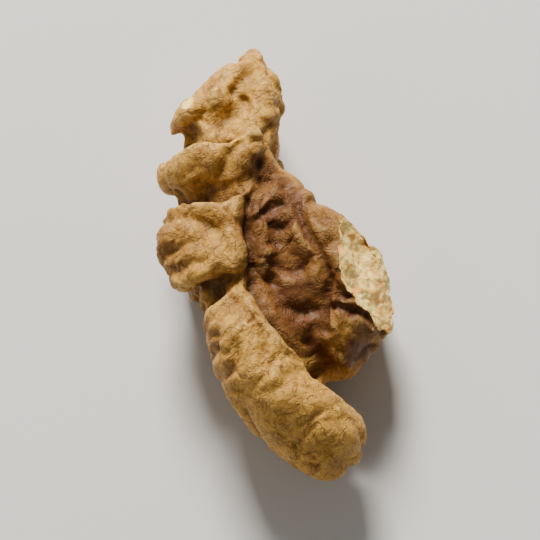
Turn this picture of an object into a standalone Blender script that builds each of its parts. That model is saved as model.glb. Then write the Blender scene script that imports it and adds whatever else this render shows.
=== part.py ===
"""Walnut kernel piece out of its shell, chipped on its right margin, lying with the domed side up.

Metres, +Z up. The kernel lies along Y with its root tip at +Y, and its chipped margin faces +X.
The origin is at the middle of the bottom of its box. The shape is sculpted in millimetres and
brought to metres at the end: balls make the lobes, a voxel skin joins them, grooves and folds
are pressed into the skin, and two small pieces are broken off.
"""

import bmesh
import bpy
import numpy as np
from mathutils import Matrix, Vector, noise
from mathutils.kdtree import KDTree

MM = 0.001

# Size of the kernel
KERNEL_LENGTH = 32.0 * MM
KERNEL_WIDTH = 15.8 * MM
KERNEL_HEIGHT = 10.8 * MM
BASE_CUT = 0.35 * MM

# Colour and finish of the skin
SKIN_COLOUR = (0.26, 0.135, 0.05, 1.0)
SKIN_ROUGHNESS = 0.55

# Fineness, in millimetres and triangles
VOXEL = 0.28
BALL_STEP = 0.7
GROOVE_STEP = 0.4
BALL_SUBDIVISIONS = 3
JOINING_SMOOTH = 8
TRIANGLES = 9200

# Lobes: runs of balls as (x, y, z, radius) in millimetres
LOBES = {
    "root_tip": [(2.2, 15.5, 5.6, 0.8), (1.9, 14.2, 6.0, 1.7), (1.5, 12.8, 6.2, 2.2)],
    "cap_left": [
        (1.2, 13.4, 6.7, 1.8), (-0.9, 12.2, 7.4, 1.8), (-2.7, 11.5, 7.2, 1.6), (-4.0, 11.2, 6.2, 1.1),
    ],
    "cap_right": [(1.9, 12.4, 6.8, 1.9), (1.7, 10.8, 7.0, 2.0), (0.9, 9.4, 6.9, 2.0)],
    "cap_body": [(0.4, 11.3, 5.2, 2.9), (-1.4, 11.0, 4.8, 2.2)],
    "stub": [(-4.7, 7.8, 6.1, 2.25), (-2.8, 7.8, 7.3, 2.5), (-0.6, 7.8, 7.2, 2.7)],
    "neck": [(0.4, 10.2, 5.4, 2.4), (0.2, 8.2, 5.6, 2.5), (0.2, 6.2, 5.8, 2.4), (0.4, 4.6, 6.0, 2.8)],
    "knobs": [(0.6, 6.8, 7.4, 1.5), (-0.2, 8.8, 7.6, 1.4)],
    "mid": [(-2.0, 2.9, 7.0, 3.3), (-4.9, 3.0, 6.3, 3.3), (-4.5, 0.5, 6.5, 3.2), (-2.8, 0.6, 7.2, 3.3)],
    "foot": [
        (-3.3, -3.6, 7.0, 3.0), (-3.2, -5.8, 7.1, 3.3), (-2.6, -8.2, 6.8, 3.4),
        (-1.7, -10.4, 6.2, 3.4), (-0.5, -12.2, 5.6, 3.3), (0.4, -13.3, 5.1, 3.1),
    ],
    "right": [
        (1.2, 4.2, 6.4, 2.6), (2.5, 1.6, 6.6, 2.7), (4.0, -1.0, 6.3, 3.3),
        (4.8, -3.4, 5.9, 3.7), (4.0, -5.4, 5.5, 3.3), (2.6, -6.8, 4.9, 2.8),
    ],
    "centre": [(0.2, 2.0, 5.4, 3.0), (0.6, -1.4, 5.4, 3.2), (0.6, -4.4, 5.0, 3.0)],
    "left_underside": [
        (-0.4, 11.0, 3.2, 2.4), (-2.2, 8.2, 3.2, 2.3), (-0.2, 6.2, 3.2, 2.2),
        (-3.8, 2.8, 3.0, 2.8), (-3.8, 0.4, 3.0, 2.8), (-3.2, -2.2, 3.0, 2.6),
        (-3.2, -5.4, 3.0, 2.8), (-2.0, -9.0, 3.0, 2.7), (-0.2, -11.8, 2.9, 2.5),
    ],
    "right_underside": [
        (1.4, 12.6, 3.2, 2.1), (1.0, 9.0, 3.2, 2.0), (1.2, 6.0, 3.2, 2.0), (1.8, 3.6, 3.0, 2.3),
        (3.6, 0.6, 3.0, 2.6), (4.8, -2.8, 3.0, 2.9), (3.2, -5.8, 2.9, 2.6),
    ],
}

# Grooves: shoulder radius, then a line of (x, y, z, depth) near the surface, in millimetres
GROOVES = {
    "cap_to_stub": (1.3, [
        (-4.6, 10.3, 0.6, 2.4), (-6.2, 10.3, 4.0, 3.6), (-5.2, 10.3, 7.4, 3.6),
        (-3.4, 10.2, 9.2, 3.0), (-1.8, 10.1, 9.8, 2.2), (-0.4, 10.0, 9.8, 0.9),
    ]),
    "stub_to_mid": (1.25, [
        (-6.4, 5.8, 0.6, 2.6), (-7.2, 5.8, 5.0, 3.8), (-5.4, 5.7, 8.2, 3.9),
        (-3.4, 5.6, 9.8, 3.3), (-1.6, 5.4, 10.2, 2.1), (-0.2, 5.2, 9.9, 0.8),
    ]),
    "mid_to_foot": (1.25, [
        (-7.0, -1.8, 0.6, 2.2), (-7.6, -1.9, 5.0, 3.0), (-5.8, -1.8, 8.6, 2.8),
        (-4.0, -1.7, 9.8, 2.3), (-2.4, -1.7, 10.0, 1.5),
    ]),
    "valley": (1.8, [
        (2.4, 8.4, 8.8, 0.6), (1.0, 6.0, 9.2, 0.9), (-0.5, 3.8, 9.8, 1.6), (-1.2, 1.2, 9.8, 2.0),
        (-1.6, -1.4, 9.6, 2.1), (-0.9, -3.8, 9.4, 2.4), (0.0, -6.2, 8.8, 2.7), (1.0, -8.6, 7.4, 3.0),
        (2.2, -11.0, 5.0, 3.4), (2.4, -11.2, 2.0, 3.2),
    ]),
    "right_rim": (1.3, [
        (1.6, 5.0, 9.0, 0.5), (2.4, 2.6, 9.4, 1.2), (3.0, 0.2, 9.2, 1.4),
        (3.2, -2.4, 9.0, 1.4), (2.6, -4.8, 8.6, 1.3), (1.8, -6.6, 7.8, 0.9),
    ]),
    "mid_dent": (1.2, [
        (-8.2, 4.6, 5.0, 0.7), (-6.6, 4.0, 8.4, 1.1), (-4.8, 3.4, 9.8, 1.1),
        (-3.4, 2.2, 10.2, 0.8), (-2.9, 0.8, 10.2, 0.5),
    ]),
    "mid_low": (1.1, [(-7.6, 0.8, 5.4, 0.6), (-6.6, 0.6, 8.0, 0.8), (-4.8, 0.2, 9.6, 0.6)]),
    "cap_hollow": (1.1, [
        (1.4, 13.6, 8.6, 0.3), (0.7, 12.2, 9.2, 0.9), (0.4, 11.0, 9.6, 1.0), (0.2, 10.2, 9.8, 0.8),
    ]),
    "cap_crease": (0.9, [
        (-3.0, 13.2, 6.8, 0.5), (-2.4, 12.4, 8.8, 0.7), (-2.0, 11.2, 9.2, 0.7), (-1.8, 10.2, 9.4, 0.6),
    ]),
    "stub_crease": (0.9, [(-2.6, 9.4, 9.4, 0.3), (-2.0, 8.0, 9.8, 0.7), (-1.8, 6.4, 9.6, 0.6)]),
    "foot_side": (1.2, [
        (-6.8, -4.8, 5.6, 0.6), (-6.2, -7.4, 6.8, 1.0), (-5.2, -10.2, 6.2, 1.0),
        (-3.4, -13.2, 5.4, 0.8), (-1.4, -15.2, 5.0, 0.4),
    ]),
    "foot_ridge": (1.0, [
        (-3.4, -2.8, 9.6, 0.5), (-2.8, -4.8, 9.8, 0.9), (-2.4, -6.8, 9.4, 0.8), (-3.0, -8.6, 9.2, 0.4),
    ]),
    "foot_cross": (1.0, [
        (-5.4, -9.0, 7.8, 0.2), (-3.0, -9.6, 8.8, 0.4), (-0.8, -9.2, 8.6, 0.4), (0.8, -9.0, 7.4, 0.3),
    ]),
    "foot_end": (1.0, [
        (-2.4, -12.6, 7.6, 0.2), (-0.8, -12.6, 8.2, 0.4), (1.2, -11.8, 7.4, 0.4), (2.4, -11.4, 5.4, 0.3),
    ]),
    "centre_high": (1.1, [
        (-0.4, 2.6, 8.6, 0.5), (1.0, 1.8, 8.6, 1.0), (2.6, 2.2, 9.2, 0.8),
        (4.6, 3.0, 8.0, 1.1), (5.6, 3.4, 4.4, 1.3), (5.0, 3.4, 1.5, 1.2),
    ]),
    "centre_mid": (1.1, [
        (-1.0, -1.0, 8.6, 0.5), (0.6, -1.8, 8.6, 1.0), (2.6, -1.2, 9.0, 0.8), (4.4, -0.6, 8.8, 0.8),
    ]),
    "centre_low": (1.1, [
        (-0.2, -4.2, 8.2, 0.5), (1.4, -4.6, 8.2, 1.0), (3.4, -5.2, 8.6, 0.9),
        (5.2, -6.2, 7.6, 1.1), (6.4, -7.2, 4.6, 1.3), (5.8, -7.0, 1.6, 1.3),
    ]),
    "flank_high": (1.2, [(8.4, -0.6, 4.6, 1.2), (7.8, -0.4, 1.6, 1.3), (6.0, -0.2, 0.4, 0.8)]),
    "flank_low": (1.2, [(8.8, -3.8, 4.2, 1.0), (8.0, -4.0, 1.6, 1.3), (6.0, -4.2, 0.4, 0.8)]),
    "underside_channel": (2.5, [
        (0.8, 13.0, 1.0, 0.8), (0.2, 10.0, 0.9, 2.2), (0.2, 6.4, 1.0, 2.8), (0.2, 2.0, 1.2, 3.2),
        (0.6, -2.0, 1.2, 3.2), (0.6, -5.6, 1.6, 3.0), (1.6, -8.4, 2.0, 2.6),
    ]),
}

# Broken faces: a point on the break, the way it faces, and how uneven it is, in millimetres
BREAKS = {
    "right_chip": ((6.5, -3.4, 6.4), (0.78, -0.10, 0.62), 0.45),
    "cap_scuff": ((-3.2, 13.2, 8.3), (-0.55, 0.50, 0.67), 0.25),
}
BREAK_SWELL_SIZE = 2.4
BREAK_GRAIN_SIZE = 0.7
BREAK_GRAIN = 0.12

# Wandering of the grooves and of the whole body, as (size, amount, offset) in millimetres
NOISE_SEED = 23
GROOVE_WANDER = ((4.0, 0.8, 3), (1.8, 0.25, 5))
BODY_WANDER = (3.2, 0.35, 2)
OFFSET_STEP = (3.1, 7.7, 1.3)

# Cross folds that run round the flanks, in millimetres; bends and fade as (size, amount, place)
FOLD_SPACING = 3.5
FOLD_SHOULDER = 1.45
FOLD_SWEEP = 0.16
FOLD_BENDS = ((6.0, 1.1, (4.1, 0.3, 7.7)), (2.6, 0.25, (14.1, 5.3, 2.7)))
FOLD_PRESENCE = 0.62
FOLD_FADE = (4.5, 0.9, (9.1, 2.3, 0.7))
FLANK_DEPTH = 1.6
TOP_DEPTH = 0.8

# Smooth stretches of the foot lobe, as (x, y, z, radius) in millimetres
CALM = ((-2.6, -7.0, 7.5, 3.6), (-1.2, -10.5, 7.0, 4.2), (0.2, -13.4, 6.0, 4.4))
CALM_SHARE = 0.4
CALM_EDGE = (0.6, 1.3)

# Small knuckles over the whole skin, in millimetres; shoulder as a share of their size
KNUCKLE_SIZE = (3.2, 2.7, 3.0)
KNUCKLE_DEPTH = 0.6
KNUCKLE_SHOULDER = 0.55
KNUCKLE_BEND_SIZE = 2.8
KNUCKLE_BEND = 0.45
KNUCKLE_PRESENCE = 0.55
KNUCKLE_FADE = (5.5, 1.2, (1.1, 8.3, 3.7))


def clear_scene():
    """Remove every object of the scene."""
    for existing in list(bpy.data.objects):
        bpy.data.objects.remove(existing, do_unlink=True)


def new_collection(name):
    """Return a new collection of the scene."""
    collection = bpy.data.collections.new(name)
    bpy.context.scene.collection.children.link(collection)
    return collection


def smooth_run(points, step):
    """Return samples of a Catmull-Rom curve through points, about one step apart."""
    knots = np.array(points, float)
    first = 2 * knots[0] - knots[1]
    last = 2 * knots[-1] - knots[-2]
    knots = np.vstack([first, knots, last])
    samples = []
    for i in range(1, len(knots) - 2):
        before, start, end, after = knots[i - 1:i + 3]
        count = max(2, int(np.linalg.norm((end - start)[:3]) / step))
        for t in np.arange(count) / count:
            line = (end - before) * t
            bend = (2 * before - 5 * start + 4 * end - after) * t ** 2
            twist = (3 * start - 3 * end + after - before) * t ** 3
            samples.append(start + 0.5 * (line + bend + twist))
    samples.append(knots[-2])
    return np.array(samples)


def shoulder(distance):
    """Return the depth share of a groove with round shoulders, 1 at its line and 0 from distance 1 on."""
    inside = 1 - np.clip(distance, 0, 1)
    return 1 - np.sqrt(1 - inside ** 2)


def wander(points, size, amount, offset):
    """Return the points moved by smooth noise of the given size and amount."""
    place = Vector(OFFSET_STEP) * offset
    moves = [noise.noise_vector(Vector(point) / size + place) for point in points]
    return points + amount * np.array(moves)


def noise_at(points, size, amount, place):
    """Return smooth noise of the given size and amount at the points."""
    shift = Vector(place)
    return amount * np.array([noise.noise(Vector(point) / size + shift) for point in points])


def points_of(mesh):
    """Return the mesh's vertices as an array."""
    points = np.empty(len(mesh.vertices) * 3, np.float32)
    mesh.vertices.foreach_get("co", points)
    return points.reshape(-1, 3).astype(float)


def normals_of(mesh):
    """Return the mesh's vertex normals as an array."""
    normals = np.empty(len(mesh.vertices) * 3, np.float32)
    mesh.vertex_normals.foreach_get("vector", normals)
    return normals.reshape(-1, 3).astype(float)


def move_points(mesh, points):
    """Give the mesh's vertices new places."""
    mesh.vertices.foreach_set("co", points.astype(np.float32).ravel())
    mesh.update()


def apply_modifiers(obj):
    """Make the object's modifiers part of its mesh."""
    graph = bpy.context.evaluated_depsgraph_get()
    result = bpy.data.meshes.new_from_object(obj.evaluated_get(graph))
    old = obj.data
    obj.modifiers.clear()
    obj.data = result
    bpy.data.meshes.remove(old)


def voxel_skin(obj, smooth_steps):
    """Join everything in the object under one even skin and smooth it."""
    remesh = obj.modifiers.new("skin", "REMESH")
    remesh.mode = "VOXEL"
    remesh.voxel_size = VOXEL
    smooth = obj.modifiers.new("soften", "SMOOTH")
    smooth.iterations = smooth_steps
    apply_modifiers(obj)


def lobe_object(collection):
    """Return an object with the balls of every lobe."""
    form = bmesh.new()
    for lobe in LOBES.values():
        for x, y, z, radius in smooth_run(lobe, BALL_STEP):
            bmesh.ops.create_icosphere(
                form,
                subdivisions=BALL_SUBDIVISIONS,
                radius=radius,
                matrix=Matrix.Translation((x, y, z)),
            )
    mesh = bpy.data.meshes.new("kernel")
    form.to_mesh(mesh)
    form.free()
    obj = bpy.data.objects.new("kernel", mesh)
    collection.objects.link(obj)
    return obj


def groove_depth(points, normals):
    """Return how deep the drawn grooves are at each point."""
    query = points
    for size, amount, offset in GROOVE_WANDER:
        query = wander(query, size, amount, offset)
    shift = query - points
    shift -= normals * (shift * normals).sum(axis=1)[:, None]
    query = points + shift
    surface = KDTree(len(points))
    for index, point in enumerate(points):
        surface.insert(point, index)
    surface.balance()
    depth = np.zeros(len(points))
    for radius, line in GROOVES.values():
        samples = smooth_run(line, GROOVE_STEP)
        bed = np.array([surface.find(place)[0] for place in samples[:, :3]])
        near = (query > bed.min(axis=0) - radius) & (query < bed.max(axis=0) + radius)
        chosen = np.flatnonzero(near.all(axis=1))
        distance = np.linalg.norm(query[chosen, None] - bed[None], axis=2)
        closest = distance.argmin(axis=1)
        away = distance[np.arange(len(chosen)), closest] / radius
        depth[chosen] = np.maximum(depth[chosen], samples[closest, 3] * shoulder(away))
    return depth


def fold_depth(points, normals):
    """Return the depth of the cross folds, deeper on the flanks than on top."""
    phase = points[:, 1] / FOLD_SPACING + FOLD_SWEEP * np.abs(points[:, 0])
    for bend in FOLD_BENDS:
        phase += noise_at(points, *bend)
    distance = np.abs(phase - np.floor(phase) - 0.5) * FOLD_SPACING / FOLD_SHOULDER
    presence = np.clip(FOLD_PRESENCE + noise_at(points, *FOLD_FADE), 0, 1)
    reach = FLANK_DEPTH + (TOP_DEPTH - FLANK_DEPTH) * np.clip(normals[:, 2], 0, 1)
    return reach * presence * shoulder(distance)


def knuckle_depth(points):
    """Return the depth of the creases between small knuckles."""
    edge = np.empty(len(points))
    for index, point in enumerate(points):
        bend = KNUCKLE_BEND * noise.noise_vector(Vector(point) / KNUCKLE_BEND_SIZE)
        distances, _ = noise.voronoi(Vector(point / KNUCKLE_SIZE) + bend)
        edge[index] = distances[1] - distances[0]
    presence = np.clip(KNUCKLE_PRESENCE + noise_at(points, *KNUCKLE_FADE), 0, 1)
    return KNUCKLE_DEPTH * presence * shoulder(edge / KNUCKLE_SHOULDER)


def liveliness(points):
    """Return how freely folds and knuckles may form at the points, less on the smooth foot lobe."""
    start, end = CALM_EDGE
    share = np.ones(len(points))
    for x, y, z, radius in CALM:
        distance = np.linalg.norm(points - (x, y, z), axis=1) / radius
        t = np.clip((distance - start) / (end - start), 0, 1)
        share = np.minimum(share, CALM_SHARE + (1 - CALM_SHARE) * t * t * (3 - 2 * t))
    return share


def break_off(points):
    """Return the points with everything past the uneven break faces pushed back onto them."""
    for place, facing, swell in BREAKS.values():
        direction = np.array(facing) / np.linalg.norm(facing)
        uneven = noise_at(points, BREAK_SWELL_SIZE, swell, (0, 0, 0))
        uneven += noise_at(points, BREAK_GRAIN_SIZE, BREAK_GRAIN, (0, 0, 0))
        past = np.clip((points - place) @ direction - uneven, 0, None)
        points = points - direction * past[:, None]
    return points


def thin_out(obj):
    """Bring the mesh down to the wanted number of triangles."""
    obj.data.calc_loop_triangles()
    thin = obj.modifiers.new("thin_out", "DECIMATE")
    thin.ratio = TRIANGLES / len(obj.data.loop_triangles)
    thin.use_collapse_triangulate = True
    apply_modifiers(obj)


def fit_to_size(mesh):
    """Scale the mesh to the kernel's size in metres, its lowest points BASE_CUT below zero."""
    points = points_of(mesh)
    low = points.min(axis=0)
    high = points.max(axis=0)
    size = np.array([KERNEL_WIDTH, KERNEL_LENGTH, KERNEL_HEIGHT + BASE_CUT])
    middle = (low + high) / 2
    points = (points - middle) * size / (high - low)
    points[:, 2] += size[2] / 2 - BASE_CUT
    move_points(mesh, points)


def level_base(obj, cutters):
    """Cut the lowest points flat, so that the kernel rests steadily."""
    side = 2 * KERNEL_LENGTH
    block = bmesh.new()
    bmesh.ops.create_cube(block, size=side, matrix=Matrix.Translation((0, 0, -side / 2)))
    mesh = bpy.data.meshes.new("floor_cutter")
    block.to_mesh(mesh)
    block.free()
    cutter = bpy.data.objects.new("floor_cutter", mesh)
    cutter.hide_render = True
    cutter.display_type = "WIRE"
    cutters.objects.link(cutter)
    cut = obj.modifiers.new("level_base", "BOOLEAN")
    cut.operation = "DIFFERENCE"
    cut.solver = "EXACT"
    cut.object = cutter


def skin_material():
    """Return the brown papery skin of the kernel."""
    material = bpy.data.materials.new("kernel_skin")
    material.use_nodes = True
    shader = material.node_tree.nodes["Principled BSDF"]
    shader.inputs["Base Color"].default_value = SKIN_COLOUR
    shader.inputs["Roughness"].default_value = SKIN_ROUGHNESS
    shader.inputs["Metallic"].default_value = 0.0
    return material


def build_kernel(collection, cutters):
    """Sculpt the kernel and return its object."""
    kernel = lobe_object(collection)
    voxel_skin(kernel, JOINING_SMOOTH)
    points = points_of(kernel.data)
    normals = normals_of(kernel.data)
    lively = liveliness(points)
    depth = np.maximum(groove_depth(points, normals), lively * fold_depth(points, normals))
    depth += lively * knuckle_depth(points)
    move_points(kernel.data, points - normals * depth[:, None])
    voxel_skin(kernel, 1)
    points = wander(points_of(kernel.data), *BODY_WANDER)
    move_points(kernel.data, break_off(points))
    thin_out(kernel)
    fit_to_size(kernel.data)
    level_base(kernel, cutters)
    kernel.data.materials.append(skin_material())
    return kernel


def main():
    clear_scene()
    noise.seed_set(NOISE_SEED)
    build_kernel(new_collection("cracked_walnut"), new_collection("cutters"))


main()
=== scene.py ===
"""Looks of the walnut kernel piece: its folded surface at full fineness, papery skin and broken flesh.

Metres, +Z up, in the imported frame: +Y runs to the root tip and +X to the chipped margin. The
surface is sculpted in millimetres with the same lobes, grooves and breaks as the solid, on a finer
voxel skin, and is then brought to the solid's own box.
"""

import logging
import math
from dataclasses import dataclass, field
from enum import Enum

import bmesh
import bpy
import numpy as np
from mathutils import Matrix, Vector, noise
from mathutils.kdtree import KDTree


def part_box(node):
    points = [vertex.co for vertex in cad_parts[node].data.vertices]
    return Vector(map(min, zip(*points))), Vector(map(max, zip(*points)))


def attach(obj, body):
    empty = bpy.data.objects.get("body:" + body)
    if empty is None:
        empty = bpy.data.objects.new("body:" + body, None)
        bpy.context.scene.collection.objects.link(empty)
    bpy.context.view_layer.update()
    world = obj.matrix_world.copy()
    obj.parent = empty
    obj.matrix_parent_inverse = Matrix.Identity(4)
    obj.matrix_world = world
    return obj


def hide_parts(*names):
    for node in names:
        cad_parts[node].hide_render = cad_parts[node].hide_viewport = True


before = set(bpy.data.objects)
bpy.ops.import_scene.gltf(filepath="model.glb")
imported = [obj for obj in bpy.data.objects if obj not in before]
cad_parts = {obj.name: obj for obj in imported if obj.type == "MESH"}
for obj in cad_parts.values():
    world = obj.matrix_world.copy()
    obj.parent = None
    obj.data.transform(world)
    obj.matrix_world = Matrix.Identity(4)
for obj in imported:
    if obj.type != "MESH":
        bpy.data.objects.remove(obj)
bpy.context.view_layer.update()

LOG = logging.getLogger("walnut_kernel")
NODE = "kernel"
BODY = "root"
SKIN_SLOT = "kernel_skin"
MM = 0.001

# A row is a place in millimetres and then a radius or a depth.
Place = tuple[float, float, float]
Row = tuple[float, float, float, float]
Colour = tuple[float, float, float, float]
Socket = bpy.types.NodeSocket


class Layer(Enum):
    """Values that the surface carries for its finish."""

    # HOLLOW and CREST carry groove depth and convexity; the finish turns them into the skin's own darker
    # furrows and wear, and into painted shade in hollows and a painted highlight on crests.
    HOLLOW = "hollow"
    CREST = "crest"
    FLESH = "flesh"
    # MIDDLE: the darker middle, partly the skin's own tone, partly painted shade.
    MIDDLE = "middle"


class Profile(Enum):
    """Sections of a groove."""

    CREASE = "crease"
    NOTCH = "notch"


@dataclass(frozen=True)
class Noise:
    """Smooth noise of one size, in millimetres."""

    size: float
    amount: float
    place: Place = (0.0, 0.0, 0.0)

    def at(self, points: np.ndarray) -> np.ndarray:
        """Return the noise at each point.

        Args:
            points: Places in millimetres, one a row.

        Returns:
            One value a point, between about minus and plus the amount.
        """
        shift = Vector(self.place)
        return self.amount * np.array([noise.noise(Vector(point) / self.size + shift) for point in points])


@dataclass(frozen=True)
class Wander:
    """Smooth noise that moves points about, in millimetres."""

    size: float
    amount: float
    offset: float
    step: Place = (3.1, 7.7, 1.3)

    def move(self, points: np.ndarray) -> np.ndarray:
        """Return the points, moved.

        Args:
            points: Places in millimetres, one a row.

        Returns:
            The moved places.
        """
        shift = Vector(self.step) * self.offset
        moves = [noise.noise_vector(Vector(point) / self.size + shift) for point in points]
        return points + self.amount * np.array(moves)


@dataclass(frozen=True)
class Groove:
    """A groove with round shoulders: its shoulder radius and its line of (x, y, z, depth)."""

    radius: float
    line: tuple[Row, ...]


@dataclass(frozen=True)
class Break:
    """A broken face: a point on it, the way it faces and how uneven it is."""

    place: Place
    facing: Place
    swell: float


def smooth_run(points: tuple[Row, ...], step: float) -> np.ndarray:
    """Sample a Catmull-Rom curve.

    Args:
        points: The curve's own points.
        step: Wanted distance between samples.

    Returns:
        The samples, one a row, with every column carried along.
    """
    knots = np.array(points, float)
    first = 2 * knots[0] - knots[1]
    last = 2 * knots[-1] - knots[-2]
    knots = np.vstack([first, knots, last])
    samples = []
    for i in range(1, len(knots) - 2):
        before, start, end, after = knots[i - 1:i + 3]
        count = max(2, int(np.linalg.norm((end - start)[:3]) / step))
        for t in np.arange(count) / count:
            line = (end - before) * t
            bend = (2 * before - 5 * start + 4 * end - after) * t ** 2
            twist = (3 * start - 3 * end + after - before) * t ** 3
            samples.append(start + 0.5 * (line + bend + twist))
    samples.append(knots[-2])
    return np.array(samples)


def shoulder(distance: np.ndarray) -> np.ndarray:
    """Shape a groove's side.

    Args:
        distance: Distance from the groove's line, as a share of its radius.

    Returns:
        The depth share, 1 on the line and 0 from the radius on.
    """
    inside = 1 - np.clip(distance, 0, 1)
    return 1 - np.sqrt(1 - inside ** 2)


def smooth_step(low: float, high: float, values: np.ndarray) -> np.ndarray:
    """Ease values from 0 at low to 1 at high.

    Args:
        low: Value that gives 0.
        high: Value that gives 1.
        values: Values to ease.

    Returns:
        The eased values.
    """
    t = np.clip((values - low) / (high - low), 0, 1)
    return t * t * (3 - 2 * t)


def points_of(mesh: bpy.types.Mesh) -> np.ndarray:
    """Read a mesh's vertices.

    Args:
        mesh: The mesh to read.

    Returns:
        Their places, one a row.
    """
    points = np.empty(len(mesh.vertices) * 3, np.float32)
    mesh.vertices.foreach_get("co", points)
    return points.reshape(-1, 3).astype(float)


def normals_of(mesh: bpy.types.Mesh) -> np.ndarray:
    """Read a mesh's vertex normals.

    Args:
        mesh: The mesh to read.

    Returns:
        The normals, one a row.
    """
    normals = np.empty(len(mesh.vertices) * 3, np.float32)
    mesh.vertex_normals.foreach_get("vector", normals)
    return normals.reshape(-1, 3).astype(float)


def edges_of(mesh: bpy.types.Mesh) -> np.ndarray:
    """Read a mesh's edges.

    Args:
        mesh: The mesh to read.

    Returns:
        The vertex numbers of each edge, one edge a row.
    """
    edges = np.empty(len(mesh.edges) * 2, np.int32)
    mesh.edges.foreach_get("vertices", edges)
    return edges.reshape(-1, 2)


def move_points(mesh: bpy.types.Mesh, points: np.ndarray) -> None:
    """Give the mesh's vertices new places.

    Args:
        mesh: The mesh to change.
        points: The new places, one a row.
    """
    mesh.vertices.foreach_set("co", points.astype(np.float32).ravel())
    mesh.update()


def apply_modifiers(obj: bpy.types.Object) -> None:
    """Make the object's modifiers part of its mesh.

    Args:
        obj: The object to change.
    """
    graph = bpy.context.evaluated_depsgraph_get()
    result = bpy.data.meshes.new_from_object(obj.evaluated_get(graph))
    old = obj.data
    obj.modifiers.clear()
    obj.data = result
    bpy.data.meshes.remove(old)


def keep_largest(mesh: bpy.types.Mesh) -> None:
    """Drop the crumbs of a mesh that are not joined to its largest part.

    Args:
        mesh: The mesh to clean.
    """
    shape = bmesh.new()
    shape.from_mesh(mesh)
    shape.verts.ensure_lookup_table()
    seen: set[int] = set()
    parts: list[list[int]] = []
    for first in range(len(shape.verts)):
        if first in seen:
            continue
        seen.add(first)
        part = [first]
        for index in part:
            for edge in shape.verts[index].link_edges:
                other = edge.other_vert(shape.verts[index]).index
                if other not in seen:
                    seen.add(other)
                    part.append(other)
        parts.append(part)
    largest = max(parts, key=len)
    crumbs = [shape.verts[index] for part in parts if part is not largest for index in part]
    bmesh.ops.delete(shape, geom=crumbs, context="VERTS")
    shape.to_mesh(mesh)
    shape.free()


def settled(values: np.ndarray, edges: np.ndarray, rounds: int) -> np.ndarray:
    """Average values with their neighbours along the edges.

    Args:
        values: One row a vertex.
        edges: Vertex numbers, one edge a row.
        rounds: How many times to average.

    Returns:
        The averaged values.
    """
    count = np.bincount(edges.ravel(), minlength=len(values))[:, None]
    result = values.copy()
    for _ in range(rounds):
        total = np.zeros_like(result)
        for column in range(result.shape[1]):
            here = result[:, column]
            total[:, column] += np.bincount(edges[:, 0], here[edges[:, 1]], len(values))
            total[:, column] += np.bincount(edges[:, 1], here[edges[:, 0]], len(values))
        result = 0.5 * result + 0.5 * total / count
    return result


# Runs of balls, one a lobe.
LOBES: dict[str, tuple[Row, ...]] = {
    "root_tip": ((2.2, 15.5, 5.6, 0.8), (1.9, 14.2, 6.0, 1.7), (1.5, 12.8, 6.2, 2.2)),
    "cap_left": (
        (1.2, 13.4, 6.7, 1.8), (-0.9, 12.2, 7.4, 1.8), (-2.7, 11.5, 7.2, 1.6), (-4.0, 11.2, 6.2, 1.1),
    ),
    "cap_right": ((1.9, 12.4, 6.8, 1.9), (1.7, 10.8, 7.0, 2.0), (0.9, 9.4, 6.9, 2.0)),
    "cap_body": ((0.4, 11.3, 5.2, 2.9), (-1.4, 11.0, 4.8, 2.2)),
    "stub": ((-4.7, 7.8, 6.1, 2.25), (-2.8, 7.8, 7.3, 2.5), (-0.6, 7.8, 7.2, 2.7)),
    "neck": ((0.4, 10.2, 5.4, 2.4), (0.2, 8.2, 5.6, 2.5), (0.2, 6.2, 5.8, 2.4), (0.4, 4.6, 6.0, 2.8)),
    "knobs": ((0.6, 6.8, 7.4, 1.5), (-0.2, 8.8, 7.6, 1.4)),
    "mid": ((-2.0, 2.9, 7.0, 3.3), (-4.9, 3.0, 6.3, 3.3), (-4.5, 0.5, 6.5, 3.2), (-2.8, 0.6, 7.2, 3.3)),
    "foot": (
        (-3.3, -3.6, 7.0, 3.0), (-3.2, -5.8, 7.1, 3.3), (-2.6, -8.2, 6.8, 3.4),
        (-1.7, -10.4, 6.2, 3.4), (-0.5, -12.2, 5.6, 3.3), (0.4, -13.3, 5.1, 3.1),
    ),
    "right": (
        (1.2, 4.2, 6.4, 2.6), (2.5, 1.6, 6.6, 2.7), (4.0, -1.0, 6.3, 3.3),
        (4.8, -3.4, 5.9, 3.7), (4.0, -5.4, 5.5, 3.3), (2.6, -6.8, 4.9, 2.8),
    ),
    "centre": ((0.2, 2.0, 5.4, 3.0), (0.6, -1.4, 5.4, 3.2), (0.6, -4.4, 5.0, 3.0)),
    "left_underside": (
        (-0.4, 11.0, 3.2, 2.4), (-2.2, 8.2, 3.2, 2.3), (-0.2, 6.2, 3.2, 2.2),
        (-3.8, 2.8, 3.0, 2.8), (-3.8, 0.4, 3.0, 2.8), (-3.2, -2.2, 3.0, 2.6),
        (-3.2, -5.4, 3.0, 2.8), (-2.0, -9.0, 3.0, 2.7), (-0.2, -11.8, 2.9, 2.5),
    ),
    "right_underside": (
        (1.4, 12.6, 3.2, 2.1), (1.0, 9.0, 3.2, 2.0), (1.2, 6.0, 3.2, 2.0), (1.8, 3.6, 3.0, 2.3),
        (3.6, 0.6, 3.0, 2.6), (4.8, -2.8, 3.0, 2.9), (3.2, -5.8, 2.9, 2.6),
    ),
}

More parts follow.
